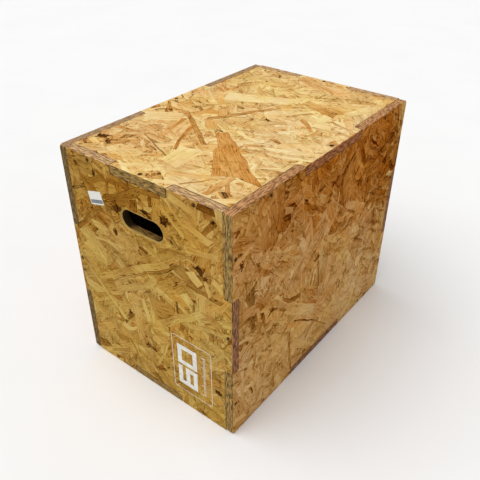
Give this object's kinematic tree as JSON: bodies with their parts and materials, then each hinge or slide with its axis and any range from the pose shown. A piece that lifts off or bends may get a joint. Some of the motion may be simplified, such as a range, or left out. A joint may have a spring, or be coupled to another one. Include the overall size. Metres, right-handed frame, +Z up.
{
  "type": "plyo box",
  "caption": "Rectangular jump box of varnished strand board with finger-jointed screwed panels and a hand slot in each end, for turning to different heights.",
  "frame": {"origin": "middle of the footprint, on the floor", "axes": "+Z up, +Y along the longest side from the handle face to the back, +X across the handle face to the right"},
  "size_m": [0.4, 0.6, 0.5],
  "materials": {
    "strand_board": "varnished oriented strand board",
    "screw_steel": "yellow zinc-plated steel",
    "sticker": "blank paper sticker",
    "print": "white printed paint"
  },
  "bodies": {
    "root": {"top_panel": "strand_board", "bottom_panel": "strand_board", "front_panel": "strand_board", "back_panel": "strand_board", "right_panel": "strand_board", "left_panel": "strand_board", "top_panel_screws": "screw_steel", "bottom_panel_screws": "screw_steel", "front_panel_screws": "screw_steel", "back_panel_screws": "screw_steel", "right_panel_screws": "screw_steel", "left_panel_screws": "screw_steel", "center_brace": "strand_board"}
  },
  "joints": []
}
